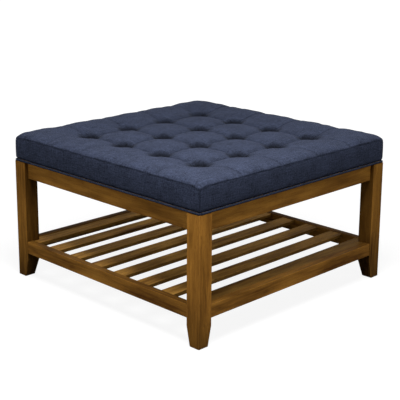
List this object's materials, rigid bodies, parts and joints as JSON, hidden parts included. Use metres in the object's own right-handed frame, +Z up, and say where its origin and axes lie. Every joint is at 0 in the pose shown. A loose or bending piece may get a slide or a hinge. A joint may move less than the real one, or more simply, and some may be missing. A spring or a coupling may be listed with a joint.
{
  "type": "ottoman coffee table",
  "caption": "Square ottoman coffee table with a tufted boxed cushion top, tapered wooden legs and an open slatted lower shelf.",
  "frame": {"origin": "on the floor under the middle of the table", "axes": "+Z up; +X along the shelf slats, to the right seen from the front; the front faces -Y"},
  "size_m": [0.794, 0.794, 0.4569],
  "materials": {
    "frame_wood": "satin walnut-brown stain",
    "shelf_wood": "satin walnut-brown stain",
    "block_wood": "bare softwood",
    "dowel_wood": "bare beech",
    "plywood": "bare plywood",
    "top_fabric": "navy linen weave",
    "side_fabric": "navy linen weave",
    "piping_fabric": "navy linen weave on the bias",
    "button_fabric": "navy linen weave",
    "dust_cloth": "black non-woven cloth",
    "twine": "waxed twine",
    "foam": "polyurethane foam",
    "zinc_steel": "zinc plated",
    "screw_steel": "yellow zinc plated",
    "glide_nylon": "moulded nylon"
  },
  "bodies": {
    "root": {"apron_back": "frame_wood", "apron_dowels": "dowel_wood", "apron_front": "frame_wood", "apron_left": "frame_wood", "apron_right": "frame_wood", "bolt_nuts": "zinc_steel", "bolt_washers": "zinc_steel", "corner_block_back_left": "block_wood", "corner_block_back_right": "block_wood", "corner_block_front_left": "block_wood", "corner_block_front_right": "block_wood", "corner_block_screws": "screw_steel", "dust_cover": "dust_cloth", "foam_core": "foam", "leg_back_left": "frame_wood", "leg_back_right": "frame_wood", "leg_bolts": "zinc_steel", "leg_front_left": "frame_wood", "leg_front_right": "frame_wood", "leg_glides": "glide_nylon", "lower_rail_back": "frame_wood", "lower_rail_front": "frame_wood", "lower_rail_left": "frame_wood", "lower_rail_right": "frame_wood", "piping": "piping_fabric", "seat_board": "plywood", "seat_screws": "screw_steel", "side_panel_back": "side_fabric", "side_panel_front": "side_fabric", "side_panel_left": "side_fabric", "side_panel_right": "side_fabric", "slat_1": "shelf_wood", "slat_2": "shelf_wood", "slat_3": "shelf_wood", "slat_4": "shelf_wood", "slat_5": "shelf_wood", "slat_6": "shelf_wood", "slat_7": "shelf_wood", "slat_8": "shelf_wood", "tuft_buttons": "button_fabric", "tuft_twine": "twine", "tufted_top": "top_fabric"}
  },
  "joints": []
}
